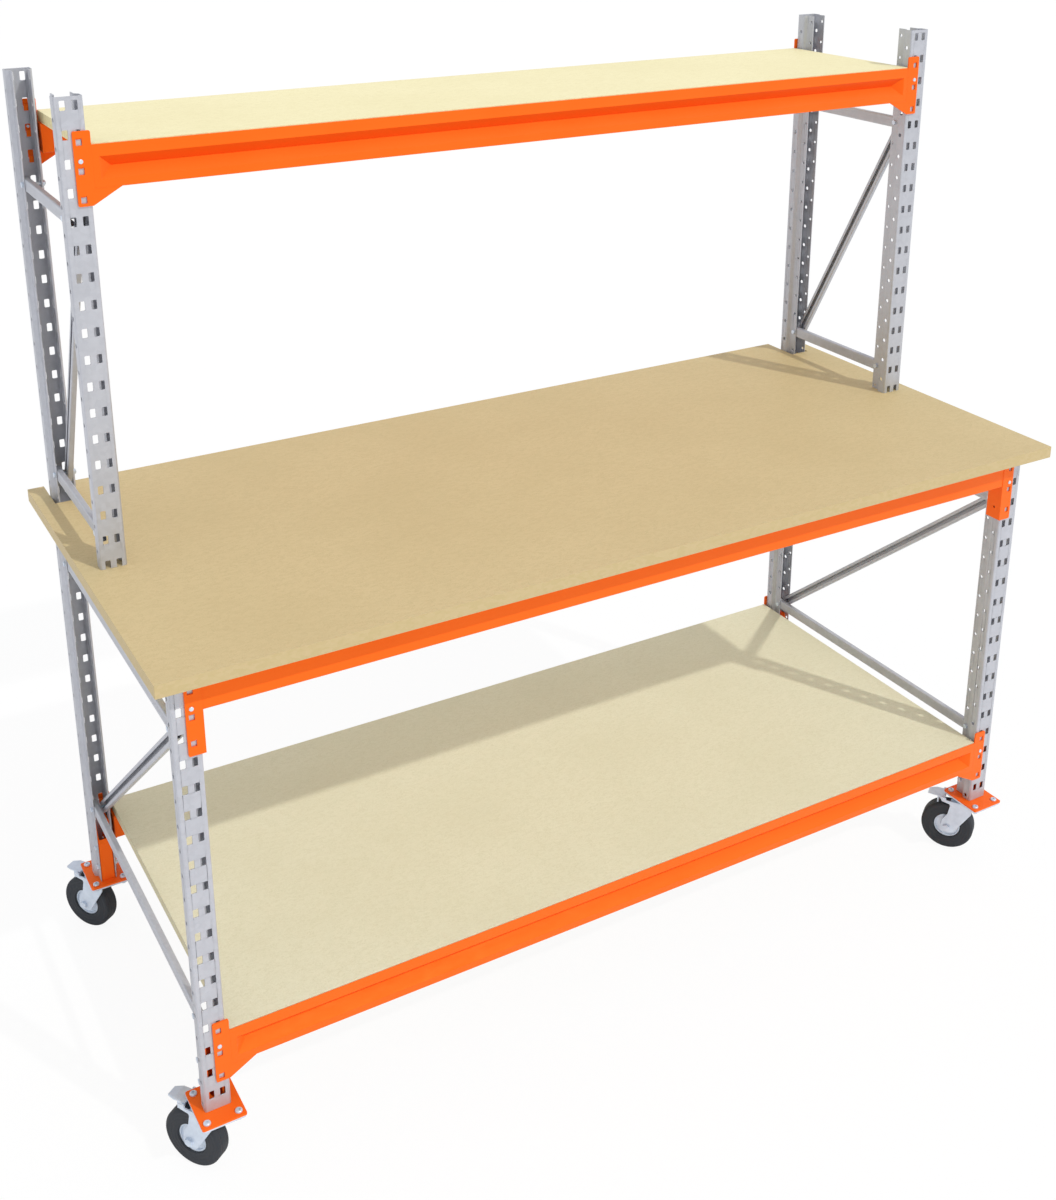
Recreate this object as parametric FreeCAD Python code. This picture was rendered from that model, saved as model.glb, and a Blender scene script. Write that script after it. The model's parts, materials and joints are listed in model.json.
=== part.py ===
import FreeCAD, Part
import math
import os

# Mobile assembly table: perforated posts, hooked beams, three boards and four braked casters.
# Millimetres, +X to the right along the table, +Y to the rear, +Z up.
# Pieces are built about the centre of the post grid with the floor at z = 0, and are then moved
# so that the origin is on the floor at the centre of the whole footprint.

V = FreeCAD.Vector

# The grid of posts, measured between post centre lines (X) and between web faces (Y).
post_spacing = 1913.0
base_depth = 800.0
upper_depth = 400.0

# A post is one strip bent into a channel: a wide part behind the web, then a narrower neck.
post_width = 50.0
post_depth = 50.0
post_wall = 2.0
neck_width = 35.0
neck_start = 22.0
neck_jog = 6.0
post_bend = 1.5

# Punching of the posts: two columns of slots in the web, two columns of holes in each side.
slot_pitch = 50.0
first_row = 35.0
last_margin = 15.0
module_rows = 18
slot_width = 10.0
slot_height = 17.0
slot_corner = 2.0
slot_column = 10.5
web_hole_radius = 4.25
web_hole_depth = 14.0
neck_hole_radius = 3.3
neck_hole_depth = 42.0

# Rows of the slot grid that the beams and the braces use, counted from the lowest row.
lower_beam_row = 2
worktop_beam_row = 16
upper_beam_row = 33
lower_brace_rows = (3, 15)
upper_brace_rows = (19, 31)
foot_rows = (0, 1)

# Boards.
worktop_side_overhang = 34.5
worktop_thickness = 25.0
worktop_overhang = 50.0
worktop_gap = 2.0
notch_gap = 1.0
shelf_thickness = 22.0
shelf_gap = 0.5
board_corner = 1.5

# Beams: a stepped box with a V groove for the shelves, a plain box under the worktop.
shelf_beam_height = 76.0
shelf_beam_rise = 31.5
shelf_beam_lip = 20.0
worktop_beam_height = 71.0
beam_depth = 40.0
beam_wall = 2.0
beam_corner = 2.0
groove_top = 21.5
groove_bottom = 61.0
groove_depth = 18.0
groove_inset = 12.0
groove_run = 22.5
worktop_beam_inset = 1.0

# Hook plates welded to the beam ends, bent round the inner side of the post.
plate_wall = 3.5
plate_gap = 0.2
plate_reach = 30.6
plate_above = 56.0
plate_below = 74.0
plate_extra = 12.0
plate_corner = 3.0
gusset_reach = 47.0
gusset_foot = 25.6
window_width = 10.5
window_height = 13.0
window_drop = 12.5
leg_hole_radius = 3.0
leg_hole_depth = 19.0
leg_hole_drop = 59.0

# Hooks folded out of the windows, and the lock pin above the middle one.
hook_width = 8.0
hook_wall = 2.0
hook_rise = 4.5
hook_recess = 1.2
hook_lip = 8.0
hook_slack = 0.5
pin_radius = 2.6
pin_rise = 4.0
pin_slack = 0.1
pin_head_radius = 4.2
pin_head_height = 1.8
pin_tail = 5.0

# Braces: lipped channels bolted inside the necks of the posts.
brace_height = 25.0
brace_depth = 12.0
brace_wall = 1.5
brace_lip = 7.0
brace_bend = 1.0
brace_gap = 0.2
brace_end = 18.0
diagonal_end = 13.0

# Bolts through the post necks.
bolt_radius = 3.0
bolt_slack = 0.1
bolt_hole_radius = 3.2
bolt_head_flats = 10.0
bolt_head_height = 4.0
bolt_nut_height = 5.0
bolt_tail = 1.5

# Foot plates with an upright inside each post.
foot_length = 105.0
foot_width = 85.0
foot_wall = 4.0
foot_corner = 4.0
foot_offset = 15.0
upright_width = 30.4
upright_start = 6.0
upright_inset = 0.5
upright_wall = 3.0
upright_face_height = 95.0
upright_side_height = 145.0
upright_shoulder = 15.0

# Caster plates and the screws that hold them under the foot plates.
wheel_headroom = 9.0
caster_plate_wall = 3.5
caster_plate_corner = 8.0
screw_inset = 12.5
screw_radius = 4.0
screw_slack = 0.3
screw_head_radius = 7.0
screw_head_height = 4.4
screw_socket_flats = 5.0
screw_socket_depth = 2.4
head_round = 0.65
nut_flats = 13.0
nut_height = 6.5
screw_tail = 2.5

# Swivel bearing between the caster plate and the fork.
race_radius = 29.0
race_height = 5.5
race_gap = 0.4
fork_race_radius = 27.0
crown_drop = 14.0
fork_wall = 3.0
fork_bend = 2.0
crown_radius = 30.0
kingpin_radius = 6.0
kingpin_slack = 0.3
rivet_radius = 10.0
rivet_height = 3.0

# Wheel, seen in the caster's own frame: x along the trail, y across, z up.
wheel_radius = 62.5
tyre_width = 35.0
tyre_shoulder = 7.0
tyre_bead = 2.0
rim_radius = 31.0
rim_flange_half = 13.5
rim_flange_depth = 4.0
dish_half = 10.0
dish_slope = 1.0
hub_radius = 11.0
hub_skirt = 5.0
wheel_trail = 50.5
axle_radius = 5.0
axle_slack = 0.06
axle_head_flats = 15.0
axle_head_height = 5.0
fork_inner_half = 20.5
hub_gap = 0.3
leg_end_radius = 13.0
leg_end_half = 16.0

# Side of the fork: it starts behind the swivel axis, narrows to the axle and carries an ear
# for the pedal.
heel_reach = 8.0
heel_height = 24.0
heel_lean = 3.0
leg_end_low = 12.5
leg_waist_rise = 20.0
leg_waist_reach = 11.0
leg_neck_rise = 37.5
leg_neck_reach = 4.5
throat_drop = 8.0
ear_front = 8.0
ear_back = 7.0
ear_rise = 6.0
ear_chin = 4.0

# Brake pedal on its pivot between the fork's ears.
pedal_wall = 2.5
pedal_start = 59.5
pedal_end = 103.0
pedal_bend = 86.0
pedal_rise = 5.0
pedal_drop = 2.5
pedal_half = 17.0
pedal_tip_half = 11.0
pedal_corner = 3.0
pivot_x = 64.0
pivot_radius = 2.5
pivot_slack = 0.06
cheek_drop = 4.0
cheek_reach = 5.0
shoe_x = 77.5
shoe_wall = 3.0
shoe_half = 15.0
shoe_gap = 3.2

# All four casters stand turned the same way at rest: the trail points to the left and the rear.
swivel_angle = 125.0

# Sizes worked out from the ones above.
crown_bottom = 2 * wheel_radius + wheel_headroom
crown_top = crown_bottom + fork_wall
caster_height = crown_top + crown_drop
hole_pitch_across = foot_width - 2 * screw_inset
hole_pitch_along = foot_length - 2 * screw_inset
pivot_z = crown_top
pedal_level = crown_top + pedal_rise
half_span = post_spacing / 2
front_web = -base_depth / 2
rear_web = base_depth / 2
upper_web = rear_web - upper_depth
post_foot = caster_height + foot_wall
lower_post_height = first_row + (module_rows - 1) * slot_pitch + last_margin
rear_rows = 2 * module_rows
rear_post_height = first_row + (rear_rows - 1) * slot_pitch + last_margin
worktop_bottom = post_foot + lower_post_height + worktop_gap
worktop_top = worktop_bottom + worktop_thickness
post_top = post_foot + rear_post_height
plate_front = plate_gap + plate_wall


def row_level(row):
    return post_foot + first_row + row * slot_pitch


# A spot at (a, b) of a plane and at the given distance along the plane's normal.
def spot(plane, a, b, along=0.0):
    if plane == "xy":
        return V(a, b, along)
    if plane == "xz":
        return V(a, along, b)
    return V(along, a, b)


# Closed face from corners (a, b, radius): lines joined by arcs of the given radii.
def outline(corners, plane, along=0.0):
    spans = []
    for number, corner in enumerate(corners):
        here = spot(plane, corner[0], corner[1], along)
        radius = corner[2] if len(corner) > 2 else 0.0
        before = corners[number - 1]
        after = corners[(number + 1) % len(corners)]
        to_before = (spot(plane, before[0], before[1], along) - here).normalize()
        to_after = (spot(plane, after[0], after[1], along) - here).normalize()
        if radius <= 0:
            spans.append((here, None, here))
            continue
        half_angle = to_before.getAngle(to_after) / 2
        setback = radius / math.tan(half_angle)
        middle = radius / math.sin(half_angle) - radius
        bisector = (to_before + to_after).normalize()
        spans.append((here + to_before * setback, here + bisector * middle, here + to_after * setback))
    edges = []
    for number, (start, middle, end) in enumerate(spans):
        previous = spans[number - 1][2]
        if previous.distanceToPoint(start) > 1e-6:
            edges.append(Part.LineSegment(previous, start).toShape())
        if middle is not None:
            edges.append(Part.Arc(start, middle, end).toShape())
    return Part.Face(Part.Wire(edges))


# Straight bar with that outline, from "start" along the plane's normal.
def prism(corners, plane, start, length):
    return outline(corners, plane, start).extrude(spot(plane, 0, 0, length))


def rectangle(a_low, a_high, b_low, b_high, radius=0.0):
    return [
        (a_low, b_low, radius),
        (a_high, b_low, radius),
        (a_high, b_high, radius),
        (a_low, b_high, radius),
    ]


def hexagon(a, b, flats):
    reach = flats / math.sqrt(3)
    angles = [math.radians(60 * number + 30) for number in range(6)]
    return [(a + reach * math.cos(angle), b + reach * math.sin(angle)) for angle in angles]


def rod(start, finish, radius):
    axis = finish - start
    return Part.makeCylinder(radius, axis.Length, start, axis)


# Outline of a bent strip of the given wall along its centre line, with rounded bends.
def strip_corners(path, wall, bend):
    left = []
    right = []
    for number, (a, b) in enumerate(path):
        before = path[max(number - 1, 0)]
        after = path[min(number + 1, len(path) - 1)]
        out = V(after[0] - a, after[1] - b, 0)
        into = V(a - before[0], b - before[1], 0) if number > 0 else V(out)
        if number == len(path) - 1:
            out = V(into)
        into.normalize()
        out.normalize()
        normal_in = V(-into.y, into.x, 0)
        normal_out = V(-out.y, out.x, 0)
        mitre = (normal_in + normal_out) * (1 / (1 + normal_in.dot(normal_out)))
        turn = into.cross(out).z
        bent = abs(turn) > 1e-6
        left_radius = (bend if turn > 0 else bend + wall) if bent else 0.0
        right_radius = (bend + wall if turn > 0 else bend) if bent else 0.0
        left.append((a + mitre.x * wall / 2, b + mitre.y * wall / 2, left_radius))
        right.append((a - mitre.x * wall / 2, b - mitre.y * wall / 2, right_radius))
    return left + right[::-1]


def moved(shape, x=0.0, y=0.0, z=0.0):
    copy = shape.copy()
    copy.translate(V(x, y, z))
    return copy


# The same piece turned round to face the other way, about the centre of the post grid.
def turned(shape):
    copy = shape.copy()
    copy.rotate(V(0, 0, 0), V(0, 0, 1), 180)
    return copy


def mirrored(shape):
    return shape.mirror(V(0, 0, 0), V(1, 0, 0))


def group(shapes):
    return Part.makeCompound(shapes)


# A post with its web's outer face on y = 0, centred on x = 0, from the bottom level to the top.
def make_post(bottom, top, rows):
    half = (post_width - post_wall) / 2
    neck_half = (neck_width - post_wall) / 2
    path = [
        (-neck_half, post_depth),
        (-neck_half, neck_start + neck_jog),
        (-half, neck_start),
        (-half, post_wall / 2),
        (half, post_wall / 2),
        (half, neck_start),
        (neck_half, neck_start + neck_jog),
        (neck_half, post_depth),
    ]
    post = prism(strip_corners(path, post_wall, post_bend), "xy", bottom, top - bottom)
    cutters = []
    for row in rows:
        level = row_level(row)
        for column in (-slot_column, slot_column):
            slot = rectangle(
                column - slot_width / 2,
                column + slot_width / 2,
                level - slot_height / 2,
                level + slot_height / 2,
                slot_corner,
            )
            cutters.append(prism(slot, "xz", -post_wall, 3 * post_wall))
        web_hole = level - slot_pitch / 2
        cutters.append(rod(V(-post_width, web_hole_depth, web_hole),
                           V(post_width, web_hole_depth, web_hole), web_hole_radius))
        cutters.append(rod(V(-post_width, neck_hole_depth, level),
                           V(post_width, neck_hole_depth, level), neck_hole_radius))
    return post.cut(group(cutters))


def make_posts():
    lower = make_post(post_foot, post_foot + lower_post_height, range(module_rows))
    rear = make_post(post_foot, post_top, range(rear_rows))
    standing = [row for row in range(rear_rows) if row_level(row) + slot_height / 2 > worktop_top]
    upper = make_post(worktop_top, post_top, standing)
    return {
        "lower_front_left_post": moved(lower, -half_span, front_web),
        "lower_front_right_post": moved(lower, half_span, front_web),
        "rear_left_post": moved(turned(rear), -half_span, rear_web),
        "rear_right_post": moved(turned(rear), half_span, rear_web),
        "upper_front_left_post": moved(upper, -half_span, upper_web),
        "upper_front_right_post": moved(upper, half_span, upper_web),
    }


# The board lies on the worktop beams; two notches in its rear edge let the rear posts through.
def make_worktop():
    half_length = half_span + post_width / 2 + worktop_side_overhang
    front = front_web - worktop_overhang
    rear = rear_web + worktop_overhang
    board = prism(rectangle(-half_length, half_length, front, rear, board_corner), "xy",
                  worktop_bottom, worktop_thickness)
    for side in (-half_span, half_span):
        notch = rectangle(side - post_width / 2 - notch_gap, side + post_width / 2 + notch_gap,
                          rear_web - post_depth - notch_gap, rear + worktop_overhang)
        board = board.cut(prism(notch, "xy", worktop_bottom - 1, worktop_thickness + 2))
    return board


# A shelf board between its hook plates and between the lips of its two beams, a little proud of them.
def make_shelf(web, row):
    bottom = row_level(row) + shelf_beam_rise - shelf_beam_lip
    half_length = half_span - plate_reach - shelf_gap
    lip_inner = plate_front - beam_wall - shelf_gap
    return prism(rectangle(-half_length, half_length, web - lip_inner, rear_web + lip_inner), "xy",
                 bottom, shelf_thickness)


# Wedge that presses the V groove into a beam's front, with slanted ends.
def groove_wedge(length, height):
    middle = height - (groove_top + groove_bottom) / 2
    rise = (groove_bottom - groove_top) / 2
    lead = groove_depth / 10
    open_half = rise * (1 + lead / groove_depth)
    open_run = groove_run * lead / groove_depth
    ends = []
    for side in (-1, 1):
        mouth = side * (length / 2 - groove_inset + open_run)
        deep = side * (length / 2 - groove_inset - groove_run)
        ends.append((V(mouth, -lead, middle + open_half), V(mouth, -lead, middle - open_half),
                     V(deep, groove_depth, middle)))
    (upper_a, lower_a, deep_a), (upper_b, lower_b, deep_b) = ends
    loops = [
        [upper_a, lower_a, deep_a],
        [upper_b, deep_b, lower_b],
        [upper_a, deep_a, deep_b, upper_b],
        [lower_a, lower_b, deep_b, deep_a],
        [upper_a, upper_b, lower_b, lower_a],
    ]
    faces = [Part.Face(Part.makePolygon(loop + [loop[0]])) for loop in loops]
    return Part.makeSolid(Part.makeShell(faces))


# A shelf beam centred on x = 0, its front face on y = 0 and its underside on z = 0.
def make_shelf_beam():
    length = post_spacing - 2 * plate_reach
    height = shelf_beam_height
    step = height - shelf_beam_lip
    groove_middle = height - (groove_top + groove_bottom) / 2
    outer = [
        (0, 0),
        (beam_depth, 0, beam_corner),
        (beam_depth, step, beam_corner),
        (beam_wall, step),
        (beam_wall, height),
        (0, height),
    ]
    groove_rise = (groove_bottom - groove_top) / 2
    wall_across = beam_wall * math.hypot(groove_depth, groove_rise) / groove_rise
    facet_top = (height - groove_top - step + beam_wall) * groove_depth / groove_rise
    hollow = [
        (beam_wall, beam_wall),
        (beam_depth - beam_wall, beam_wall),
        (beam_depth - beam_wall, step - beam_wall),
        (facet_top + wall_across, step - beam_wall),
        (groove_depth + wall_across, groove_middle),
        (beam_wall, height - groove_bottom - (wall_across - beam_wall) * groove_rise / groove_depth),
    ]
    beam = prism(outer, "yz", -length / 2, length)
    beam = beam.cut(prism(hollow, "yz", -length / 2, length))
    return beam.cut(groove_wedge(length, height))


def make_worktop_beam():
    length = post_spacing - 2 * plate_reach
    outer = rectangle(worktop_beam_inset, beam_depth, 0, worktop_beam_height, beam_corner)
    hollow = rectangle(worktop_beam_inset + beam_wall, beam_depth - beam_wall,
                       beam_wall, worktop_beam_height - beam_wall)
    beam = prism(outer, "yz", -length / 2, length)
    return beam.cut(prism(hollow, "yz", -length / 2, length))


# Hook plate for a left-hand post: post centre line on x = 0, the plate's front face on y = 0 and
# the middle slot row on z = 0. "below" is how far it hangs under that row.
def make_hook_plate(below, leg_low, leg_high, gusset_level):
    corners = [
        (0, plate_above, plate_corner),
        (plate_reach, plate_above, plate_corner),
        (plate_reach, -below, plate_corner),
        (0, -below, plate_corner),
    ]
    if gusset_level is not None:
        corners[2:3] = [
            (plate_reach, gusset_level),
            (plate_reach + gusset_reach, gusset_level),
            (gusset_foot, -below, plate_corner),
        ]
    plate = prism(corners, "xz", 0, plate_wall)
    leg = prism(rectangle(plate_reach - plate_wall, plate_reach, 0, beam_depth), "xy",
                leg_low, leg_high - leg_low)
    plate = plate.fuse(leg).removeSplitter()
    cutters = []
    for step in (-1, 0, 1):
        middle = step * slot_pitch - window_drop
        cutters.append(prism(rectangle(slot_column - window_width / 2, slot_column + window_width / 2,
                                       middle - window_height / 2, middle + window_height / 2, post_bend),
                             "xz", -plate_wall, 3 * plate_wall))
    cutters.append(rod(V(slot_column, -plate_wall, pin_rise),
                       V(slot_column, 2 * plate_wall, pin_rise), pin_radius + pin_slack))
    hole_level = -leg_hole_drop
    if leg_low < hole_level - leg_hole_radius:
        cutters.append(rod(V(0, leg_hole_depth, hole_level),
                           V(2 * plate_reach, leg_hole_depth, hole_level), leg_hole_radius))
    plate = plate.cut(group(cutters))
    hooks = []
    lip_front = plate_front + post_wall + hook_slack
    hook_bottom = -slot_height / 2 + hook_slack
    for step in (-1, 0, 1):
        level = step * slot_pitch + hook_bottom
        hook = [
            (hook_recess, level),
            (lip_front, level),
            (lip_front, level - hook_lip),
            (lip_front + hook_wall, level - hook_lip),
            (lip_front + hook_wall, level + hook_rise),
            (hook_recess, level + hook_rise),
        ]
        hooks.append(prism(hook, "yz", slot_column - hook_width / 2, hook_width))
    return plate.fuse(hooks).removeSplitter()


# Pin through the round hole of a hook plate into the post's slot, same frame as the plate.
def make_lock_pin():
    shank = rod(V(slot_column, 0, pin_rise), V(slot_column, plate_front + pin_tail, pin_rise), pin_radius)
    head = rod(V(slot_column, -pin_head_height, pin_rise), V(slot_column, 0, pin_rise), pin_head_radius)
    rim = [edge for edge in head.Edges if abs(edge.CenterOfMass.y + pin_head_height) < 1e-6]
    return head.makeFillet(pin_head_height * head_round, rim).fuse(shank).removeSplitter()


# A beam level: the beams, the hook plates and the lock pins at the front web and the rear web.
def make_level(beam, plate, row, beam_bottom, web):
    level = row_level(row)
    pin = make_lock_pin()

    def at_front(shape, x, z, front):
        return moved(shape, x, front - plate_front, z)

    def both_ends(shape, front):
        return [at_front(shape, -half_span, level, front), at_front(mirrored(shape), half_span, level, front)]

    return {
        "front_beam": at_front(beam, 0, beam_bottom, web),
        "rear_beam": turned(at_front(beam, 0, beam_bottom, -rear_web)),
        "plates": both_ends(plate, web) + [turned(end) for end in both_ends(plate, -rear_web)],
        "pins": both_ends(pin, web) + [turned(end) for end in both_ends(pin, -rear_web)],
    }


def make_beams():
    shelf_beam = make_shelf_beam()
    beam_low = shelf_beam_rise - shelf_beam_height
    shelf_plate = make_hook_plate(plate_below, beam_low, shelf_beam_rise - shelf_beam_lip, beam_low)
    worktop_beam = make_worktop_beam()
    worktop_plate = make_hook_plate(plate_below + plate_extra, -plate_below - plate_extra, plate_above, None)
    lower = make_level(shelf_beam, shelf_plate, lower_beam_row,
                       row_level(lower_beam_row) + beam_low, front_web)
    middle = make_level(worktop_beam, worktop_plate, worktop_beam_row,
                        worktop_bottom - worktop_beam_height, front_web)
    upper = make_level(shelf_beam, shelf_plate, upper_beam_row,
                       row_level(upper_beam_row) + beam_low, upper_web)
    nodes = {}
    pins = []
    for name, level in (("lower", lower), ("worktop", middle), ("upper", upper)):
        nodes[name + "_front_beam"] = level["front_beam"]
        nodes[name + "_rear_beam"] = level["rear_beam"]
        nodes[name + "_hook_plates"] = group(level["plates"])
        pins += level["pins"]
    nodes["lock_pins"] = group(pins)
    return nodes


# Brace between (y, z) bolt centres: a lipped channel whose web faces x = 0 and whose lips lie
# at brace_depth. It runs "end" past each bolt centre and has a bolt hole at both.
def make_brace(start, finish, end, opens_left):
    run = V(0, finish[0] - start[0], finish[1] - start[1])
    half = (brace_height - brace_wall) / 2
    path = [
        (brace_depth - brace_wall / 2, half - brace_lip),
        (brace_depth - brace_wall / 2, half),
        (brace_wall / 2, half),
        (brace_wall / 2, -half),
        (brace_depth - brace_wall / 2, -half),
        (brace_depth - brace_wall / 2, -half + brace_lip),
    ]
    brace = prism(strip_corners(path, brace_wall, brace_bend), "xz", -end, run.Length + 2 * end)
    holes = [rod(V(-brace_wall, place, 0), V(2 * brace_wall, place, 0), bolt_hole_radius)
             for place in (0, run.Length)]
    brace = brace.cut(group(holes))
    if opens_left:
        brace = mirrored(brace)
    brace.rotate(V(0, 0, 0), V(1, 0, 0), math.degrees(math.atan2(run.z, run.y)))
    brace.translate(V(0, start[0], start[1]))
    return brace


def make_braces():
    inner_half = neck_width / 2 - post_wall - brace_gap
    rear_bolt = rear_web - neck_hole_depth
    nodes = {}
    for level, web, rows in (("lower", front_web, lower_brace_rows), ("upper", upper_web, upper_brace_rows)):
        front_bolt = web + neck_hole_depth
        low = row_level(rows[0])
        high = row_level(rows[1])
        pieces = {
            "bottom": make_brace((front_bolt, low), (rear_bolt, low), brace_end, False),
            "top": make_brace((front_bolt, high), (rear_bolt, high), brace_end, False),
            "diagonal": make_brace((front_bolt, high), (rear_bolt, low), diagonal_end, True),
        }
        for side, centre in (("left", -half_span), ("right", half_span)):
            for name, brace in pieces.items():
                seat = inner_half if name == "diagonal" else -inner_half
                nodes[f"{level}_{side}_{name}_brace"] = moved(brace, centre + seat)
    return nodes


# Hexagon bolt and nut across a post neck, on the line x at (y, z) = (0, 0).
def make_neck_bolt():
    side = neck_width / 2
    head = prism(hexagon(0, 0, bolt_head_flats), "yz", -side - bolt_head_height, bolt_head_height)
    end = side + bolt_nut_height + bolt_tail
    bolt = head.fuse(rod(V(-side, 0, 0), V(end, 0, 0), bolt_radius)).removeSplitter()
    nut = prism(hexagon(0, 0, bolt_head_flats), "yz", side, bolt_nut_height)
    nut = nut.cut(rod(V(side - 1, 0, 0), V(end, 0, 0), bolt_radius + bolt_slack))
    return [bolt, nut]


def make_frame_bolts():
    spots = []
    rear_bolt = rear_web - neck_hole_depth
    for web, rows in (
        (front_web, foot_rows),
        (front_web, lower_brace_rows),
        (upper_web, upper_brace_rows),
    ):
        spots += [(web + neck_hole_depth, row_level(row)) for row in rows]
        spots += [(rear_bolt, row_level(row)) for row in rows]
    pieces = make_neck_bolt()
    return group([moved(piece, side, y, z) for side in (-half_span, half_span)
                  for y, z in spots for piece in pieces])


def screw_spots():
    return [(x, y) for x in (-hole_pitch_across / 2, hole_pitch_across / 2)
            for y in (foot_offset - hole_pitch_along / 2, foot_offset + hole_pitch_along / 2)]


def plate_blank(low, wall, corner):
    blank = prism(rectangle(-foot_width / 2, foot_width / 2, foot_offset - foot_length / 2,
                            foot_offset + foot_length / 2, corner), "xy", low, wall)
    holes = [rod(V(x, y, low - 1), V(x, y, low + wall + 1), screw_radius + screw_slack)
             for x, y in screw_spots()]
    return blank.cut(group(holes))


# Foot plate with its folded upright, in the frame of a front post.
def make_foot():
    half = (upright_width - upright_wall) / 2
    back = post_depth - upright_inset - upright_wall / 2
    path = [(-half, upright_start), (-half, back), (half, back), (half, upright_start)]
    upright = prism(strip_corners(path, upright_wall, post_bend), "xy", post_foot, upright_side_height)
    top = post_foot + upright_side_height
    shoulder = post_foot + upright_face_height
    outside = post_depth + upright_wall
    lean = post_depth - upright_inset
    cut_back = [
        (outside, shoulder),
        (outside, top + 1),
        (lean - upright_shoulder, top + 1),
        (lean - upright_shoulder, top),
        (lean, shoulder),
    ]
    upright = upright.cut(prism(cut_back, "yz", -upright_width, 2 * upright_width))
    holes = [rod(V(-post_width, neck_hole_depth, row_level(row)),
                 V(post_width, neck_hole_depth, row_level(row)), bolt_hole_radius)
             for row in foot_rows]
    upright = upright.cut(group(holes))
    return plate_blank(caster_height, foot_wall, foot_corner).fuse(upright).removeSplitter()


# Round-head screws down through the foot plate and the caster plate, each with a nut below.
def make_screws():
    under = caster_height - caster_plate_wall
    pieces = []
    for x, y in screw_spots():
        head = rod(V(x, y, post_foot), V(x, y, post_foot + screw_head_height), screw_head_radius)
        crown = [edge for edge in head.Edges
                 if abs(edge.CenterOfMass.z - post_foot - screw_head_height) < 1e-6]
        head = head.makeFillet(screw_head_height * head_round, crown)
        socket_floor = post_foot + screw_head_height - screw_socket_depth
        head = head.cut(prism(hexagon(x, y, screw_socket_flats), "xy", socket_floor, screw_socket_depth))
        shank = rod(V(x, y, under - nut_height - screw_tail), V(x, y, post_foot), screw_radius)
        nut = prism(hexagon(x, y, nut_flats), "xy", under - nut_height, nut_height)
        nut = nut.cut(rod(V(x, y, under - nut_height - 1), V(x, y, under + 1), screw_radius + bolt_slack))
        pieces += [head.fuse(shank).removeSplitter(), nut]
    return pieces


# Caster plate with its fixed race and the riveted kingpin, in the frame of a front post.
def make_caster_plate():
    under = caster_height - caster_plate_wall
    centre = V(0, foot_offset, 0)
    plate = plate_blank(under, caster_plate_wall, caster_plate_corner)
    race = rod(centre + V(0, 0, under - race_height), centre + V(0, 0, under), race_radius)
    lower_rim = [edge for edge in race.Edges if abs(edge.CenterOfMass.z - under + race_height) < 1e-6]
    race = race.makeFillet(race_height / 3, lower_rim)
    pin_low = crown_bottom - race_gap - rivet_height
    kingpin = rod(centre + V(0, 0, pin_low), centre + V(0, 0, under), kingpin_radius)
    rivet = rod(centre + V(0, 0, pin_low), centre + V(0, 0, pin_low + rivet_height), rivet_radius)
    return plate.fuse([race, kingpin, rivet]).removeSplitter()


# Fork in the caster's own frame, with the swivel axis on x = y = 0.
def make_fork():
    outer_half = fork_inner_half + fork_wall
    race_top = caster_height - caster_plate_wall - race_height - race_gap
    axle_low = wheel_radius - leg_end_low
    leg_neck = wheel_trail - leg_neck_reach
    ear_low = pivot_x - ear_front
    ear_high = pivot_x + ear_back
    leg_corners = [
        (-heel_reach, crown_top, fork_bend),
        (heel_lean - heel_reach, crown_top - heel_height, 3 * fork_bend),
        (wheel_trail - leg_end_half, axle_low, leg_end_radius),
        (wheel_trail + leg_end_half, axle_low, leg_end_radius),
        (wheel_trail + leg_waist_reach, wheel_radius + leg_waist_rise, 4 * fork_bend),
        (wheel_trail, wheel_radius + leg_neck_rise, 2 * fork_bend),
        (leg_neck, crown_top - heel_height / 2, 2 * fork_bend),
        (leg_neck + fork_bend, crown_top - throat_drop, fork_bend),
        (ear_high - ear_chin, crown_top - ear_chin, 2 * fork_bend),
        (ear_high, crown_top + ear_rise, fork_bend),
        (ear_low + fork_bend, crown_top + ear_rise, fork_bend),
        (ear_low, crown_top),
    ]
    legs = [prism(leg_corners, "xz", start, fork_wall) for start in (-outer_half, fork_inner_half)]
    crown = rod(V(0, 0, crown_bottom), V(0, 0, crown_top), crown_radius)
    bridge = prism(rectangle(-heel_reach, leg_neck, -outer_half, outer_half), "xy", crown_bottom, fork_wall)
    race = rod(V(0, 0, crown_top), V(0, 0, race_top), fork_race_radius)
    fork = crown.fuse([bridge, race] + legs).removeSplitter()
    cutters = [
        rod(V(0, 0, crown_bottom - 1), V(0, 0, race_top + 1), kingpin_radius + kingpin_slack),
        rod(V(wheel_trail, -post_width, wheel_radius), V(wheel_trail, post_width, wheel_radius),
            axle_radius + bolt_slack),
        rod(V(pivot_x, -post_width, pivot_z), V(pivot_x, post_width, pivot_z), pivot_radius + pivot_slack),
    ]
    return fork.cut(group(cutters))


# Turn a half section, given as (radius, y) corners, about the axle.
def turned_about_axle(corners):
    section = outline([(wheel_trail + item[0], item[1]) + tuple(item[2:]) for item in corners], "xy",
                      wheel_radius)
    return section.revolve(V(wheel_trail, 0, wheel_radius), V(0, 1, 0), 360)


def make_rim():
    bore = axle_radius + axle_slack
    hub_half = fork_inner_half - hub_gap
    flange = rim_radius - rim_flange_depth
    half = [
        (bore, hub_half),
        (hub_radius, hub_half),
        (hub_radius + dish_slope, rim_flange_half),
        (hub_radius + hub_skirt, dish_half),
        (flange, dish_half),
        (flange + dish_slope, rim_flange_half),
        (rim_radius, rim_flange_half),
    ]
    return turned_about_axle(half + [(radius, -y) for radius, y in reversed(half)])


def make_tyre():
    half = tyre_width / 2
    return turned_about_axle([
        (rim_radius, -half, tyre_bead),
        (wheel_radius, -half, tyre_shoulder),
        (wheel_radius, half, tyre_shoulder),
        (rim_radius, half, tyre_bead),
    ])


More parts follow.
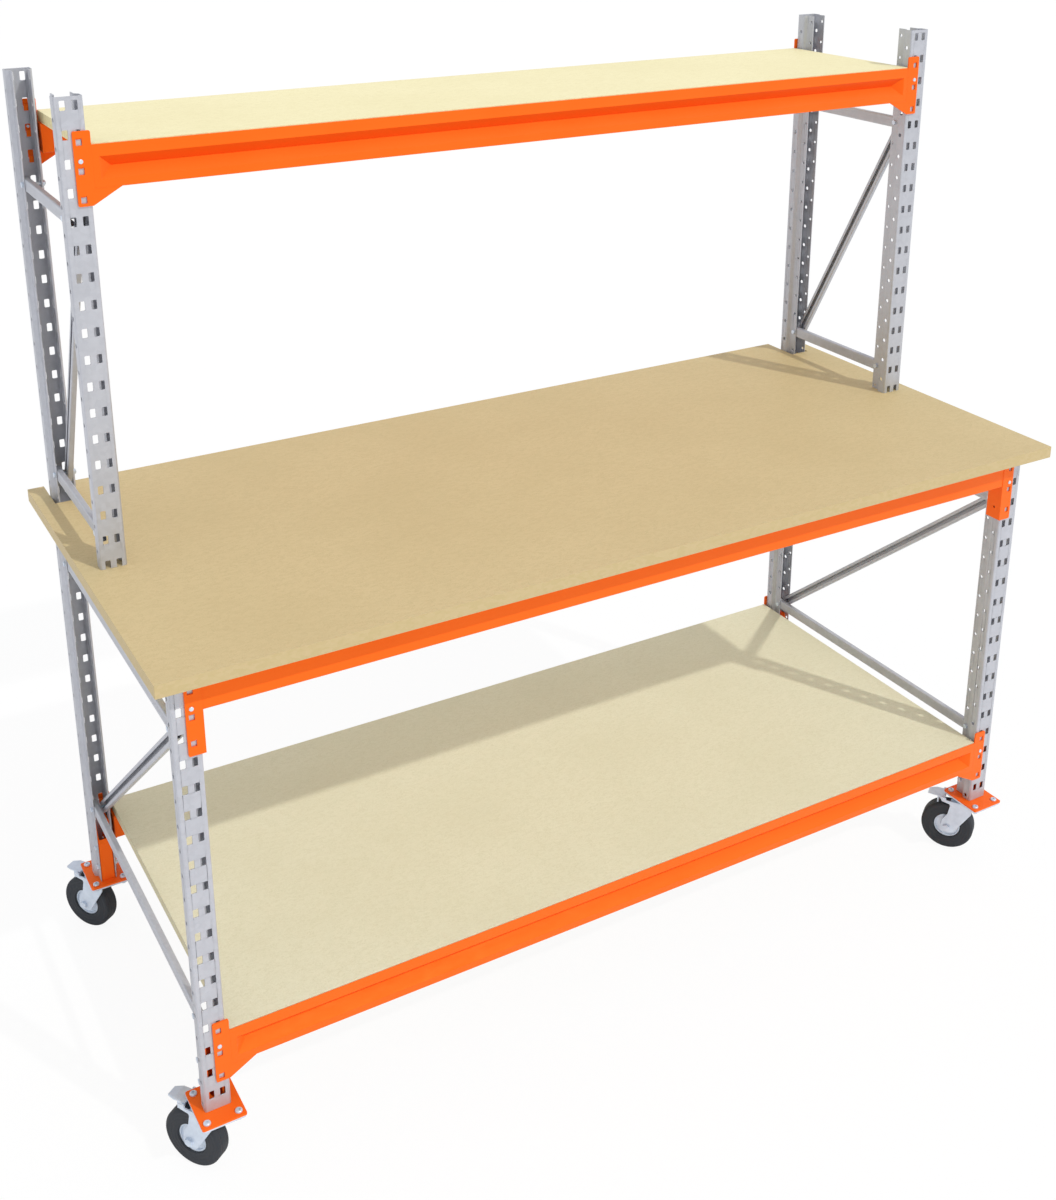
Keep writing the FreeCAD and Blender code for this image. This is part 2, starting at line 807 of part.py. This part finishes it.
# Axle bolt with its head on one side of the fork and its nut on the other.
def make_axle():
    outer_half = fork_inner_half + fork_wall
    end = outer_half + axle_head_height + bolt_tail
    bolt = rod(V(wheel_trail, -end, wheel_radius), V(wheel_trail, outer_half, wheel_radius), axle_radius)
    head = prism(hexagon(wheel_trail, wheel_radius, axle_head_flats), "xz", outer_half, axle_head_height)
    nut = prism(hexagon(wheel_trail, wheel_radius, axle_head_flats), "xz",
                -outer_half - axle_head_height, axle_head_height)
    nut = nut.cut(rod(V(wheel_trail, -end - 1, wheel_radius), V(wheel_trail, 0, wheel_radius),
                      axle_radius + bolt_slack))
    return group([bolt.fuse(head).removeSplitter(), nut])


# Pedal with its folded cheeks, pivot pin and brake shoe, in the caster's own frame.
def make_pedal():
    half_wall = pedal_wall / 2
    side = [(pedal_start, pedal_level), (pedal_bend, pedal_level), (pedal_end, pedal_level - pedal_drop)]
    sheet = prism(strip_corners(side, pedal_wall, pedal_corner), "xz", -pedal_half, 2 * pedal_half)
    trim = prism([
        (pedal_start - 1, -pedal_half),
        (pedal_bend, -pedal_half, pedal_corner),
        (pedal_end, -pedal_tip_half, pedal_corner),
        (pedal_end, pedal_tip_half, pedal_corner),
        (pedal_bend, pedal_half, pedal_corner),
        (pedal_start - 1, pedal_half),
    ], "xy", pedal_level - 2 * pedal_drop - pedal_wall, 4 * pedal_drop + 2 * pedal_wall)
    sheet = sheet.common(trim)
    cheek_low = pivot_z - cheek_drop
    cheek = [
        (pedal_start, cheek_low, pedal_corner),
        (pivot_x + cheek_reach, cheek_low, pedal_corner),
        (shoe_x, pedal_level - half_wall),
        (shoe_x, pedal_level),
        (pedal_start, pedal_level),
    ]
    cheeks = [prism(cheek, "xz", start, pedal_wall) for start in (-pedal_half, pedal_half - pedal_wall)]
    pin = rod(V(pivot_x, -fork_inner_half - fork_wall, pivot_z),
              V(pivot_x, fork_inner_half + fork_wall, pivot_z), pivot_radius)
    run = shoe_x - wheel_trail
    shoe_low = wheel_radius + math.sqrt((wheel_radius + shoe_gap) ** 2 - run ** 2)
    shoe = prism(rectangle(shoe_x - shoe_wall / 2, shoe_x + shoe_wall / 2, -shoe_half, shoe_half), "xy",
                 shoe_low, pedal_level - shoe_low)
    return sheet.fuse(cheeks + [pin, shoe]).removeSplitter()


def make_casters():
    corners = [
        ("front_left", -half_span, front_web + foot_offset),
        ("front_right", half_span, front_web + foot_offset),
        ("rear_left", -half_span, rear_web - foot_offset),
        ("rear_right", half_span, rear_web - foot_offset),
    ]
    pieces = {
        "fork": make_fork(),
        "rim": make_rim(),
        "tyre": make_tyre(),
        "axle": make_axle(),
        "pedal": make_pedal(),
    }
    nodes = {}
    for corner, x, y in corners:
        for name, piece in pieces.items():
            placed = piece.copy()
            placed.rotate(V(0, 0, 0), V(0, 0, 1), swivel_angle)
            placed.translate(V(x, y, 0))
            nodes[f"{corner}_{name}"] = placed
    return nodes


# One piece or group under each of the four lower posts.
def under_posts(shape):
    return {
        "front_left": moved(shape, -half_span, front_web),
        "front_right": moved(shape, half_span, front_web),
        "rear_left": moved(turned(shape), -half_span, rear_web),
        "rear_right": moved(turned(shape), half_span, rear_web),
    }


def make_table():
    nodes = {
        "worktop": make_worktop(),
        "upper_shelf": make_shelf(upper_web, upper_beam_row),
        "lower_shelf": make_shelf(front_web, lower_beam_row),
    }
    nodes.update(make_posts())
    nodes.update(make_beams())
    nodes.update(make_braces())
    nodes["frame_bolts"] = make_frame_bolts()
    for corner, foot in under_posts(make_foot()).items():
        nodes[corner + "_foot"] = foot
    nodes["caster_plates"] = group(list(under_posts(make_caster_plate()).values()))
    nodes["caster_screws"] = group(list(under_posts(group(make_screws())).values()))
    nodes.update(make_casters())
    return nodes


# The offset that puts the origin under the centre of everything that the table covers.
def footprint_shift(nodes):
    box = group(list(nodes.values())).optimalBoundingBox(False)
    return V(-box.Center.x, -box.Center.y, 0)


table = make_table()
shift = footprint_shift(table)
os.makedirs("parts", exist_ok=True)
for name, shape in table.items():
    shape.translate(shift)
    shape.exportStep("parts/" + name + ".step")
print("nodes", len(table), "shift", round(shift.x, 3), round(shift.y, 3))
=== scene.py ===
import bpy
import json
import math
import numpy as np
from mathutils import Matrix, Vector


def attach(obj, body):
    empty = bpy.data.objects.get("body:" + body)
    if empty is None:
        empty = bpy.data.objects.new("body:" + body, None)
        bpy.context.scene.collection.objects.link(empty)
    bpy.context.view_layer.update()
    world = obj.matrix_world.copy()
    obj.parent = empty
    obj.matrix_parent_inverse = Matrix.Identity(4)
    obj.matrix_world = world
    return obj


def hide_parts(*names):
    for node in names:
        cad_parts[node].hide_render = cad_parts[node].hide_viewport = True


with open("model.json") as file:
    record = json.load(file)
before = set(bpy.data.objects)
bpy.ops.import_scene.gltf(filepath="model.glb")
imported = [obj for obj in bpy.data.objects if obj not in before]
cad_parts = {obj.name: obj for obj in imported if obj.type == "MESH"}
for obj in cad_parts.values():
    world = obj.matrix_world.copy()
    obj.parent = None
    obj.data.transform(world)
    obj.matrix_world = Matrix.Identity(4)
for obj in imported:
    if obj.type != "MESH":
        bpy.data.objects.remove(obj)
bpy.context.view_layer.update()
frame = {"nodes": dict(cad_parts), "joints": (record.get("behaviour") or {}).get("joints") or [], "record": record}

corners = ("front_left", "front_right", "rear_left", "rear_right")
mm = 0.001


# sRGB hex colour as the linear values that a colour socket takes
def toLinear(hexColour):
    values = [int(hexColour[at:at + 2], 16) / 255 for at in (1, 3, 5)]
    linear = [v / 12.92 if v <= 0.04045 else ((v + 0.055) / 1.055) ** 2.4 for v in values]
    return (*linear, 1.0)


# adds one node: a plain value is set on the input or property of that name, a socket is linked
def addNode(tree, kind, settings=None):
    node = tree.nodes.new("ShaderNode" + kind)
    for name, value in (settings or {}).items():
        if isinstance(value, bpy.types.NodeSocket):
            tree.links.new(value, node.inputs[name])
        elif isinstance(name, int) or name in node.inputs:
            node.inputs[name].default_value = value
        else:
            setattr(node, name, value)
    return node


def emptyMaterial(name):
    material = bpy.data.materials.new(name)
    material.use_nodes = True
    material.node_tree.nodes.clear()
    return material, material.node_tree


# a new material and its patterns by name, each pattern on object coordinates that are scaled
# so that one unit of it is "size" metres along each axis
def startFinish(name, patterns):
    material, tree = emptyMaterial(name)
    place = addNode(tree, "TexCoord").outputs["Object"]
    made = {}
    for pattern, (kind, size, settings) in patterns.items():
        sizes = size if isinstance(size, tuple) else (size,) * 3
        space = addNode(tree, "Mapping", {"Vector": place, "Scale": [1 / s for s in sizes]})
        made[pattern] = addNode(tree, kind, {"Vector": space.outputs["Vector"], "Scale": 1.0,
                                             **settings})
    return material, tree, made


# below, a Mix node takes its two colours in sockets 6 and 7 and gives the mixture in output 2

boardLooks = {
    "worktop": {
        "colour": "#DAC697", "dark": "#C6B281", "edge": "#CBB688", "under": "#EDE8C4",
        "roughness": 0.5,
    },
    # painted shade: the lower shelf is the same board as the upper one, with colours set darker and greyer for the
    # worktop's shade that it lies in
    "lower_shelf": {
        "colour": "#E8E4CA", "dark": "#D7D2B2", "edge": "#D6C9A2", "under": "#DED2AC",
        "roughness": 0.6,
    },
    "upper_shelf": {
        "colour": "#FDF4C7", "dark": "#ECE1AE", "edge": "#E2D4A4", "under": "#E4D7AC",
        "roughness": 0.6,
    },
}

boardPatterns = {
    "fibre": ("TexNoise", 2.6 * mm, {"Detail": 4.0, "Roughness": 0.6}),
    "chips": ("TexVoronoi", (9 * mm, 5 * mm, 5 * mm), {"Randomness": 1.0}),   # along the board
    "cloud": ("TexNoise", 260 * mm, {"Detail": 2.0, "Roughness": 0.55}),
}

boardGrain = {
    "paleChips": 0.6,                      # how far a chip brings the tone to the pale colour
    "clouds": 0.25,                        # how far a cloud brings it to the dark one
    "roughnessSpread": 0.14,
    "reflection": 0.35,
    "relief": 0.12 * mm,
    "reliefShare": 0.6,
}


# board pressed from wood chips, with a sanded face: gives fine pale and dark chips, broad clouds
# of tone, and coarser specks on the sawn edges
def makeBoard(name, look):
    material, tree, made = startFinish(name + "_pressed_board", boardPatterns)
    fibre = made["fibre"].outputs["Fac"]
    cloud = made["cloud"].outputs["Fac"]
    chip = addNode(tree, "SeparateColor", {"Color": made["chips"].outputs["Color"]}).outputs["Red"]
    colour, dark, edge, under = (toLinear(look[part]) for part in ("colour", "dark", "edge", "under"))

    fibreShare = addNode(tree, "MapRange", {"Value": fibre, "From Min": 0.3, "From Max": 0.72})
    fibred = addNode(tree, "Mix", {"data_type": "RGBA", 0: fibreShare.outputs["Result"],
                                   6: dark, 7: colour}).outputs[2]
    chipShare = addNode(tree, "MapRange", {"Value": chip, "To Max": boardGrain["paleChips"]})
    chipped = addNode(tree, "Mix", {"data_type": "RGBA", 0: chipShare.outputs["Result"],
                                    6: fibred, 7: colour}).outputs[2]
    cloudShare = addNode(tree, "MapRange", {"Value": cloud, "From Min": 0.35, "From Max": 0.65,
                                            "To Max": boardGrain["clouds"]})
    face = addNode(tree, "Mix", {"data_type": "RGBA", 0: cloudShare.outputs["Result"],
                                 6: chipped, 7: dark}).outputs[2]
    speckShare = addNode(tree, "MapRange", {"Value": chip, "From Min": 0.1, "From Max": 0.9})
    sawn = addNode(tree, "Mix", {"data_type": "RGBA", 0: speckShare.outputs["Result"],
                                 6: edge, 7: dark}).outputs[2]

    normal = addNode(tree, "NewGeometry").outputs["True Normal"]
    upward = addNode(tree, "SeparateXYZ", {"Vector": normal}).outputs["Z"]
    level = addNode(tree, "Math", {"operation": "ABSOLUTE", 0: upward}).outputs["Value"]
    onEdge = addNode(tree, "MapRange", {"Value": level, "From Min": 0.7, "From Max": 0.3})
    sided = addNode(tree, "Mix", {"data_type": "RGBA", 0: onEdge.outputs["Result"],
                                  6: face, 7: sawn}).outputs[2]
    below = addNode(tree, "MapRange", {"Value": upward, "From Min": -0.4, "From Max": -0.6})
    board = addNode(tree, "Mix", {"data_type": "RGBA", 0: below.outputs["Result"],
                                  6: sided, 7: under}).outputs[2]

    rough = addNode(tree, "MapRange", {
        "Value": fibre, "From Min": 0.3, "From Max": 0.7,
        "To Min": look["roughness"], "To Max": look["roughness"] + boardGrain["roughnessSpread"]})
    height = addNode(tree, "Math", {"operation": "MULTIPLY_ADD", 0: chip, 1: 0.5, 2: fibre})
    bump = addNode(tree, "Bump", {"Height": height.outputs["Value"],
                                  "Distance": boardGrain["relief"],
                                  "Strength": boardGrain["reliefShare"]})
    shader = addNode(tree, "BsdfPrincipled", {
        "Base Color": board, "Roughness": rough.outputs["Result"],
        "Specular IOR Level": boardGrain["reflection"], "Normal": bump.outputs["Normal"]})
    addNode(tree, "OutputMaterial", {"Surface": shader.outputs["BSDF"]})
    return material


steelLook = {
    "colour": "#C4C6CC",
    "dark": "#B8BAC0",
    "roughness": 0.42,
    "metal": 0.35,                         # the dull skin on old zinc hides most of the metal
    "relief": 0.05 * mm,
}

steelPatterns = {
    "crystals": ("TexVoronoi", 9 * mm, {"Randomness": 1.0}),
    "cloud": ("TexNoise", 55 * mm, {"Detail": 4.0, "Roughness": 0.6}),
    "runs": ("TexNoise", (14 * mm, 14 * mm, 320 * mm), {"Detail": 3.0, "Roughness": 0.55}),
    "grit": ("TexNoise", 2.2 * mm, {"Detail": 2.0, "Roughness": 0.55}),
}


# sheet steel dipped in zinc: gives crystals of slightly different tone and gloss, and faint runs
# along the posts
def makeGalvanised(name, look):
    material, tree, made = startFinish(name, steelPatterns)
    crystal = addNode(tree, "SeparateColor", {"Color": made["crystals"].outputs["Color"]})
    crystal = crystal.outputs["Green"]
    colour, dark = toLinear(look["colour"]), toLinear(look["dark"])

    tone = addNode(tree, "Math", {"operation": "MULTIPLY_ADD", 0: crystal, 1: 0.45,
                                  2: made["cloud"].outputs["Fac"]})
    toneShare = addNode(tree, "MapRange", {"Value": tone.outputs["Value"],
                                           "From Min": 0.35, "From Max": 1.05})
    spangled = addNode(tree, "Mix", {"data_type": "RGBA", 0: toneShare.outputs["Result"],
                                     6: dark, 7: colour}).outputs[2]
    runShare = addNode(tree, "MapRange", {"Value": made["runs"].outputs["Fac"], "From Min": 0.5,
                                          "From Max": 0.8, "To Max": 0.3})
    streaked = addNode(tree, "Mix", {"data_type": "RGBA", 0: runShare.outputs["Result"],
                                     6: spangled, 7: dark}).outputs[2]

    rough = addNode(tree, "MapRange", {"Value": crystal, "To Min": look["roughness"] - 0.06,
                                       "To Max": look["roughness"] + 0.1})
    bump = addNode(tree, "Bump", {"Height": made["grit"].outputs["Fac"],
                                  "Distance": look["relief"], "Strength": 0.5})
    shader = addNode(tree, "BsdfPrincipled", {
        "Base Color": streaked, "Metallic": look["metal"],
        "Roughness": rough.outputs["Result"], "Normal": bump.outputs["Normal"]})
    addNode(tree, "OutputMaterial", {"Surface": shader.outputs["BSDF"]})
    return material


paintLook = {
    "colour": "#FF6E20",
    "dark": "#FD6819",
    "under": "#EE4A0A",                    # painted shade: deeper, redder orange on faces turned down
    "sheen": "#FF8A48",                    # colour of the reflections in the coat
    "roughness": 0.4,
    "relief": 0.05 * mm,
}

paintPatterns = {
    "peel": ("TexNoise", 1.6 * mm, {"Detail": 2.0, "Roughness": 0.55}),
    "cloud": ("TexNoise", 180 * mm, {"Detail": 3.0, "Roughness": 0.55}),
    "rub": ("TexNoise", (60 * mm, 22 * mm, 22 * mm), {"Detail": 5.0, "Roughness": 0.7}),
}


# powder coat baked on pressed steel: gives the beams an even coat with fine ripples and patches
# that handling has rubbed, and painted shade in a deeper, redder orange on faces turned down
def makePaint(name, look):
    material, tree, made = startFinish(name, paintPatterns)
    colour, dark, under = (toLinear(look[part]) for part in ("colour", "dark", "under"))

    cloudShare = addNode(tree, "MapRange", {"Value": made["cloud"].outputs["Fac"],
                                            "From Min": 0.35, "From Max": 0.7, "To Max": 0.5})
    clouded = addNode(tree, "Mix", {"data_type": "RGBA", 0: cloudShare.outputs["Result"],
                                    6: colour, 7: dark}).outputs[2]
    normal = addNode(tree, "NewGeometry").outputs["True Normal"]
    upward = addNode(tree, "SeparateXYZ", {"Vector": normal}).outputs["Z"]
    # painted shade: faces turned down take the deeper, redder "under" colour in place of the coat
    below = addNode(tree, "MapRange", {"Value": upward, "From Min": -0.5, "From Max": -0.8})
    coatAndPaintedShade = addNode(tree, "Mix", {"data_type": "RGBA", 0: below.outputs["Result"],
                                 6: clouded, 7: under}).outputs[2]

    rough = addNode(tree, "MapRange", {
        "Value": made["rub"].outputs["Fac"], "From Min": 0.35, "From Max": 0.7,
        "To Min": look["roughness"] - 0.05, "To Max": look["roughness"] + 0.12})
    bump = addNode(tree, "Bump", {"Height": made["peel"].outputs["Fac"],
                                  "Distance": look["relief"], "Strength": 0.35})
    shader = addNode(tree, "BsdfPrincipled", {
        "Base Color": coatAndPaintedShade, "Specular Tint": toLinear(look["sheen"]),
        "Roughness": rough.outputs["Result"], "Normal": bump.outputs["Normal"]})
    addNode(tree, "OutputMaterial", {"Surface": shader.outputs["BSDF"]})
    return material


zincLook = {
    "colour": "#DCE6F2",
    "dark": "#CCD7E4",
    "roughness": 0.33,
    "metal": 0.4,
    "relief": 0.03 * mm,
}

zincPatterns = {
    # coarser than the grain of real plating, so that it shows
    "grain": ("TexNoise", 3 * mm, {"Detail": 4.0, "Roughness": 0.65}),
    "cloud": ("TexNoise", 18 * mm, {"Detail": 3.0, "Roughness": 0.55}),
}


# bright zinc plating: gives casters and fasteners a bluish even metal with a fine grain
def makeZinc(name, look):
    material, tree, made = startFinish(name, zincPatterns)
    grain = made["grain"].outputs["Fac"]
    share = addNode(tree, "MapRange", {"Value": made["cloud"].outputs["Fac"],
                                       "From Min": 0.3, "From Max": 0.7})
    colour = addNode(tree, "Mix", {"data_type": "RGBA", 0: share.outputs["Result"],
                                   6: toLinear(look["dark"]), 7: toLinear(look["colour"])}).outputs[2]
    rough = addNode(tree, "MapRange", {
        "Value": grain, "From Min": 0.3, "From Max": 0.7,
        "To Min": look["roughness"] - 0.05, "To Max": look["roughness"] + 0.1})
    bump = addNode(tree, "Bump", {"Height": grain, "Distance": look["relief"], "Strength": 0.5})
    shader = addNode(tree, "BsdfPrincipled", {
        "Base Color": colour, "Metallic": look["metal"],
        "Roughness": rough.outputs["Result"], "Normal": bump.outputs["Normal"]})
    addNode(tree, "OutputMaterial", {"Surface": shader.outputs["BSDF"]})
    return material


rubberLook = {
    "colour": "#33373C",
    "dark": "#2B2E33",
    "roughness": 0.62,
    "reflection": 0.4,
    "relief": 0.08 * mm,
}

rubberPatterns = {
    # coarser than the skin of real rubber, so that it shows
    "grain": ("TexNoise", 1.2 * mm, {"Detail": 4.0, "Roughness": 0.7}),
    "bloom": ("TexNoise", 24 * mm, {"Detail": 4.0, "Roughness": 0.55}),
}


# moulded wheel rubber: gives the tyres a dull dark surface with a dusty bloom
def makeRubber(name, look):
    material, tree, made = startFinish(name, rubberPatterns)
    bloom = made["bloom"].outputs["Fac"]
    share = addNode(tree, "MapRange", {"Value": bloom, "From Min": 0.3, "From Max": 0.7})
    colour = addNode(tree, "Mix", {"data_type": "RGBA", 0: share.outputs["Result"],
                                   6: toLinear(look["dark"]), 7: toLinear(look["colour"])}).outputs[2]
    rough = addNode(tree, "MapRange", {
        "Value": bloom, "From Min": 0.3, "From Max": 0.7,
        "To Min": look["roughness"] - 0.06, "To Max": look["roughness"] + 0.12})
    bump = addNode(tree, "Bump", {"Height": made["grain"].outputs["Fac"],
                                  "Distance": look["relief"], "Strength": 0.5})
    shader = addNode(tree, "BsdfPrincipled", {
        "Base Color": colour, "Specular IOR Level": look["reflection"],
        "Roughness": rough.outputs["Result"], "Normal": bump.outputs["Normal"]})
    addNode(tree, "OutputMaterial", {"Surface": shader.outputs["BSDF"]})
    return material


materials = {
    "galvanised": makeGalvanised("galvanised_sheet", steelLook),
    "orange_paint": makePaint("orange_powder_coat", paintLook),
    "zinc": makeZinc("bright_zinc", zincLook),
    "tyre": makeRubber("wheel_rubber", rubberLook),
}
for board, look in boardLooks.items():
    materials[board] = makeBoard(board, look)
print("materials", len(materials))

slotOf = {piece["node"]: piece["material_slot"] for piece in frame["record"]["subparts"]}

edgeLook = {
    "widths": {"galvanised": 0.5 * mm, "orange_paint": 0.4 * mm, "zinc": 0.4 * mm, "board": 1.0 * mm},
    "segments": 2,
    "sharperThan": 40,                     # degrees between two faces whose edge is rounded
    "weld": 0.001 * mm,                    # points closer than this become one
}


# CAD nodes keep their meshes: their points are welded and their edges rounded by modifiers
def dressNode(name, node):
    slotName = slotOf[name]
    node.data.materials.clear()
    node.data.materials.append(materials[name] if slotName == "board" else materials[slotName])
    if slotName not in edgeLook["widths"]:
        return
    weld = node.modifiers.new("weld", "WELD")
    weld.merge_threshold = edgeLook["weld"]
    bevel = node.modifiers.new("rounded_edges", "BEVEL")
    bevel.width = edgeLook["widths"][slotName]
    bevel.segments = edgeLook["segments"]
    bevel.limit_method = "ANGLE"
    bevel.angle_limit = math.radians(edgeLook["sharperThan"])
    bevel.harden_normals = True


for name, node in frame["nodes"].items():
    dressNode(name, node)
print("dressed", len(frame["nodes"]))

tyreSizes = {
    "bead": 31.2 * mm,                     # radius where the rubber meets the rim
    "tread": 62.4 * mm,                    # radius of the tread
    "half": 17.4 * mm,                     # half the width
    "shoulder": 7.0 * mm,                  # radius from the sidewall to the tread
    "beadSlope": 2 * mm,                   # the rubber draws in by this at the rim
    "rings": 3,                            # moulded rings on each sidewall
    "ringHeight": 0.3 * mm,
    "grooves": (-7.0 * mm, 7.0 * mm),      # places of the two tread lines across the width
    "grooveWidth": 0.7 * mm,
    "grooveDepth": 0.7 * mm,
    "steps": 96,                           # round the wheel
    "points": {"shoulder": 9, "wall": 25, "tread": 41},
}


# closed surface of revolution about local y: each profile point is (radius, y), and every step
# turns it by the same angle, to (radius cos turn, y, radius sin turn)
def latheMesh(name, profile, steps):
    points = np.array(profile, float)
    turns = np.arange(steps) * 2 * math.pi / steps
    radius = points[:, 0][None, :]
    x = radius * np.cos(turns)[:, None]
    z = radius * np.sin(turns)[:, None]
    y = np.broadcast_to(points[:, 1][None, :], x.shape)
    vertices = np.stack([x, y, z], axis=-1).reshape(-1, 3)
    across = len(points)
    step, place = np.meshgrid(np.arange(steps), np.arange(across), indexing="ij")
    after = (step + 1) % steps
    beyond = (place + 1) % across
    quads = np.stack([step * across + place, step * across + beyond,
                      after * across + beyond, after * across + place], axis=-1).reshape(-1, 4)
    mesh = bpy.data.meshes.new(name)
    mesh.from_pydata(vertices, [], quads.tolist())
    mesh.shade_smooth()
    mesh.update()
    return mesh


# outline of the tyre: a sidewall with rings as a cosine wave, a shoulder as a quarter circle, a
# tread with its lines sunk as bell curves, the same side mirrored, and the straight bore
def tyreProfile(sizes):
    half, tread, bead, shoulder = (sizes[part] for part in ("half", "tread", "bead", "shoulder"))
    points = sizes["points"]
    turn = np.linspace(0, math.pi / 2, points["shoulder"])
    corner = np.stack([tread - shoulder + shoulder * np.sin(turn),
                       half - shoulder + shoulder * np.cos(turn)], axis=-1)
    wall = np.linspace(bead + sizes["beadSlope"], tread - shoulder, points["wall"])
    wave = np.cos(np.linspace(0, sizes["rings"] * 2 * math.pi, points["wall"]))
    side = np.stack([wall, half + sizes["ringHeight"] * (wave * 0.5 - 0.5)], axis=-1)
    across = np.linspace(half - shoulder, -(half - shoulder), points["tread"])[1:-1]
    sunk = sum(np.exp(-((across - at) / sizes["grooveWidth"]) ** 2) for at in sizes["grooves"])
    top = np.stack([tread - sizes["grooveDepth"] * sunk, across], axis=-1)
    upper = np.concatenate([side[:-1], corner])
    lower = upper[::-1] * (1, -1)
    rim = half - sizes["beadSlope"]
    return np.concatenate([upper, top, lower, [(bead, -rim), (bead, rim)]])


jointOf = {joint["name"]: joint for joint in frame["joints"]}
profile = tyreProfile(tyreSizes)
for corner in corners:
    joint = jointOf[corner + "_wheel_spin"]
    mesh = latheMesh(corner + "_rubber_tyre", profile, tyreSizes["steps"])
    turn = Vector((0, 1, 0)).rotation_difference(Vector(joint["axis"])).to_matrix().to_4x4()
    mesh.transform(Matrix.Translation(joint["pos_m"]) @ turn)
    mesh.materials.append(materials["tyre"])
    tyre = bpy.data.objects.new(corner + "_rubber_tyre", mesh)
    bpy.context.scene.collection.objects.link(tyre)
    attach(tyre, corner + "_wheel")
    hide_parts(corner + "_tyre")
print("tyres", len(corners))

floorLook = {
    "colour": "#FFFFFF",
    "glow": 0.92,                          # share of plain white that the camera sees
    "reach": 30.0,                         # metres from the middle to each side
}


# pale studio floor: gives a near-white ground with the faint shadow of the table
def makeFloor(look):
    material, tree = emptyMaterial("pale_floor")
    path = addNode(tree, "LightPath")
    diffuse = addNode(tree, "BsdfDiffuse", {"Color": toLinear(look["colour"])})
    glow = addNode(tree, "Emission", {"Color": (1, 1, 1, 1), "Strength": 1.0})
    share = addNode(tree, "Math", {"operation": "MULTIPLY", 0: path.outputs["Is Camera Ray"],
                                   1: look["glow"]})
    mix = addNode(tree, "MixShader", {0: share.outputs["Value"], 1: diffuse.outputs["BSDF"],
                                      2: glow.outputs["Emission"]})
    addNode(tree, "OutputMaterial", {"Surface": mix.outputs["Shader"]})
    reach = look["reach"]
    mesh = bpy.data.meshes.new("floor")
    mesh.from_pydata([(-reach, -reach, 0), (reach, -reach, 0), (reach, reach, 0), (-reach, reach, 0)],
                     [], [(0, 1, 2, 3)])
    mesh.materials.append(material)
    floor = bpy.data.objects.new("floor", mesh)
    bpy.context.scene.collection.objects.link(floor)


skyLook = {"colour": "#F7F9FF", "strength": 0.79}


# even pale sky that lights the table, and plain white behind it for the camera
def makeSky(look):
    world = bpy.data.worlds.new("studio")
    bpy.context.scene.world = world
    world.use_nodes = True
    tree = world.node_tree
    tree.nodes.clear()
    path = addNode(tree, "LightPath")
    sky = addNode(tree, "Background", {"Color": toLinear(look["colour"]),
                                       "Strength": look["strength"]})
    white = addNode(tree, "Background", {"Color": (1, 1, 1, 1), "Strength": 1.0})
    mix = addNode(tree, "MixShader", {0: path.outputs["Is Camera Ray"],
                                      1: sky.outputs["Background"],
                                      2: white.outputs["Background"]})
    addNode(tree, "OutputWorld", {"Surface": mix.outputs["Shader"]})


keyLook = {
    "colour": "#FFFDF8",
    "strength": 1.37,
    "travel": (-0.415, 0.896, -1.0),       # from the front right and above
    "angle": 1.2,                          # degrees, gives the shadows a narrow soft edge
}


def makeKey(look):
    light = bpy.data.lights.new("key", "SUN")
    light.energy = look["strength"]
    light.angle = math.radians(look["angle"])
    light.color = toLinear(look["colour"])[:3]
    key = bpy.data.objects.new("key", light)
    key.rotation_mode = "QUATERNION"
    key.rotation_quaternion = Vector(look["travel"]).to_track_quat("-Z", "Y")
    bpy.context.scene.collection.objects.link(key)


cameraLook = {
    "place": (-1.536, -2.6006, 2.3486),    # metres, in the frame of the table
    "heading": 29.815,                     # degrees, turned from +Y towards +X
    "pitch": -18.756,                      # degrees, down from level
    "roll": -0.073,                        # degrees
    "lens": 45.3,                          # mm
    "sensor": 36.0,                        # mm
    "shift": (-0.0022, -0.2),
    "clip": (0.05, 100.0),                 # metres, nearest and farthest that it sees
}


def makeCamera(look):
    data = bpy.data.cameras.new("camera")
    data.lens = look["lens"]
    data.sensor_width = look["sensor"]
    data.shift_x, data.shift_y = look["shift"]
    data.clip_start, data.clip_end = look["clip"]
    camera = bpy.data.objects.new("camera", data)
    pitch = Matrix.Rotation(math.radians(90 + look["pitch"]), 4, "X")
    heading = Matrix.Rotation(-math.radians(look["heading"]), 4, "Z")
    roll = Matrix.Rotation(math.radians(look["roll"]), 4, "Z")
    camera.matrix_world = Matrix.Translation(look["place"]) @ heading @ pitch @ roll
    bpy.context.scene.collection.objects.link(camera)
    bpy.context.scene.camera = camera


makeFloor(floorLook)
makeSky(skyLook)
makeKey(keyLook)
makeCamera(cameraLook)
bpy.context.scene.view_settings.view_transform = "Standard"
print("studio ready")
